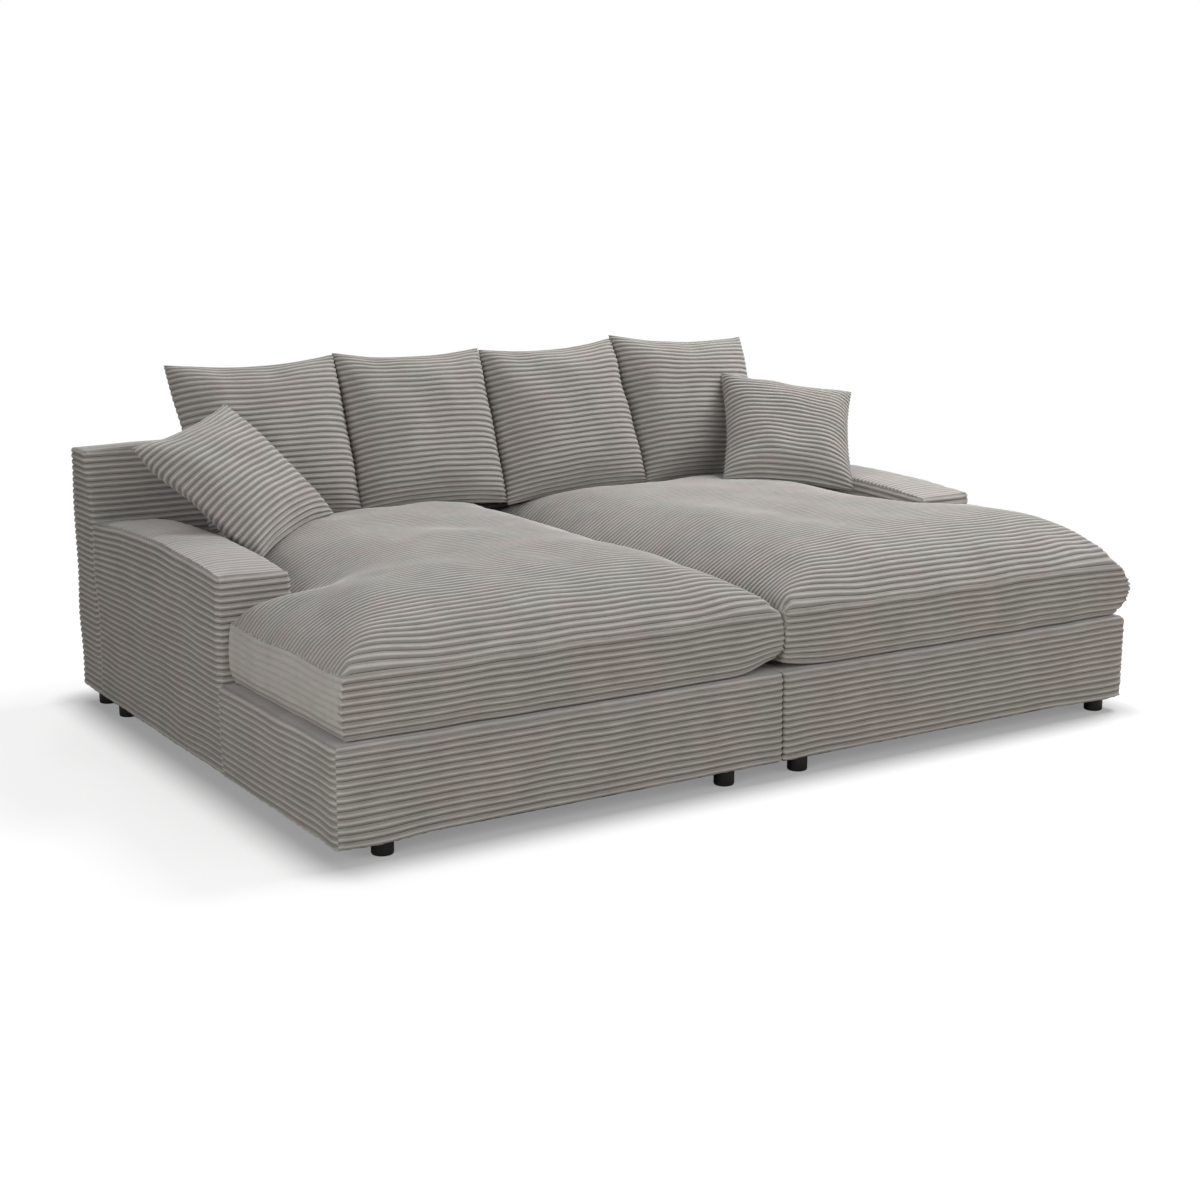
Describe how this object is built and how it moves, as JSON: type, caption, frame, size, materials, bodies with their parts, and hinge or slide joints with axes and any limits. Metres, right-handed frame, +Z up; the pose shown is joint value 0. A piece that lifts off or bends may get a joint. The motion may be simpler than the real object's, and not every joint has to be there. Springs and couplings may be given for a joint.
{
  "type": "sofa",
  "caption": "Deep corduroy sofa in two mirrored modules, each an L-shaped seat in front of a block arm and low back, with loose seat and back cushions and throw pillows.",
  "frame": {"origin": "on the floor, at the middle of the sofa's width and depth", "axes": "+X across the sofa to the sitter's left as seen from the front (to the right in the picture), -Y out of the front, +Z up"},
  "size_m": [2.4, 1.69, 0.9468],
  "materials": {
    "upholstery": "jumbo corduroy, warm grey",
    "timber": "planed pine and plywood",
    "webbing": "woven elastic webbing",
    "lining": "black non-woven lining",
    "foot_plastic": "moulded, satin",
    "steel": "zinc plated"
  },
  "bodies": {
    "left_module": {"left_front_rail": "timber", "left_outer_rail": "timber", "left_cross_rail": "timber", "left_side_rail": "timber", "left_inner_rail": "timber", "left_rear_rail": "timber", "left_seat_webbing": "webbing", "left_front_panel": "upholstery", "left_side_panel": "upholstery", "left_joining_panel": "lining", "left_deck_pad": "upholstery", "left_dust_cover": "lining", "left_arm_frame": "timber", "left_arm_cover": "upholstery", "left_back_outer_post": "timber", "left_back_inner_post": "timber", "left_back_top_rail": "timber", "left_back_webbing": "webbing", "left_back_cover": "upholstery", "left_back_bolt": "steel", "left_foot_front_outer": "foot_plastic", "left_foot_front_inner": "foot_plastic", "left_foot_arm": "foot_plastic", "left_foot_back_outer": "foot_plastic", "left_foot_back_inner": "foot_plastic", "left_connector": "steel"},
    "right_module": {"right_front_rail": "timber", "right_outer_rail": "timber", "right_cross_rail": "timber", "right_side_rail": "timber", "right_inner_rail": "timber", "right_rear_rail": "timber", "right_seat_webbing": "webbing", "right_front_panel": "upholstery", "right_side_panel": "upholstery", "right_joining_panel": "lining", "right_deck_pad": "upholstery", "right_dust_cover": "lining", "right_arm_frame": "timber", "right_arm_cover": "upholstery", "right_back_outer_post": "timber", "right_back_inner_post": "timber", "right_back_top_rail": "timber", "right_back_webbing": "webbing", "right_back_cover": "upholstery", "right_back_bolt": "steel", "right_foot_front_outer": "foot_plastic", "right_foot_front_inner": "foot_plastic", "right_foot_arm": "foot_plastic", "right_foot_back_outer": "foot_plastic", "right_foot_back_inner": "foot_plastic", "right_connector": "steel"},
    "left_seat_cushion": {"left_seat_cushion": "upholstery"},
    "left_back_cushion_inner": {"left_back_cushion_inner": "upholstery"},
    "left_back_cushion_outer": {"left_back_cushion_outer": "upholstery"},
    "left_throw_pillow": {"left_throw_pillow": "upholstery"},
    "right_seat_cushion": {"right_seat_cushion": "upholstery"},
    "right_back_cushion_inner": {"right_back_cushion_inner": "upholstery"},
    "right_back_cushion_outer": {"right_back_cushion_outer": "upholstery"},
    "right_throw_pillow": {"right_throw_pillow": "upholstery"}
  },
  "joints": [
    {"name": "modules_part", "type": "slide", "parent": "left_module", "child": "right_module", "axis": [1, 0, 0], "range_m": [0, 0.3]},
    {"name": "left_seat_cushion_draw", "type": "slide", "parent": "left_module", "child": "left_seat_cushion", "axis": [0, -0.9138, 0.4061], "range_m": [0, 0.3]},
    {"name": "left_back_cushion_inner_lift", "type": "slide", "parent": "left_seat_cushion", "child": "left_back_cushion_inner", "axis": [0, 0, 1], "range_m": [0, 0.35]},
    {"name": "left_back_cushion_outer_lift", "type": "slide", "parent": "left_seat_cushion", "child": "left_back_cushion_outer", "axis": [0, 0, 1], "range_m": [0, 0.35]},
    {"name": "left_throw_pillow_lift", "type": "slide", "parent": "left_back_cushion_outer", "child": "left_throw_pillow", "axis": [0, 0, 1], "range_m": [0, 0.3]},
    {"name": "right_seat_cushion_draw", "type": "slide", "parent": "right_module", "child": "right_seat_cushion", "axis": [0, -0.9138, 0.4061], "range_m": [0, 0.3]},
    {"name": "right_back_cushion_inner_lift", "type": "slide", "parent": "right_seat_cushion", "child": "right_back_cushion_inner", "axis": [0, 0, 1], "range_m": [0, 0.35]},
    {"name": "right_back_cushion_outer_lift", "type": "slide", "parent": "right_seat_cushion", "child": "right_back_cushion_outer", "axis": [0, 0, 1], "range_m": [0, 0.35]},
    {"name": "right_throw_pillow_lift", "type": "slide", "parent": "right_back_cushion_outer", "child": "right_throw_pillow", "axis": [0, 0, 1], "range_m": [0, 0.3]}
  ]
}
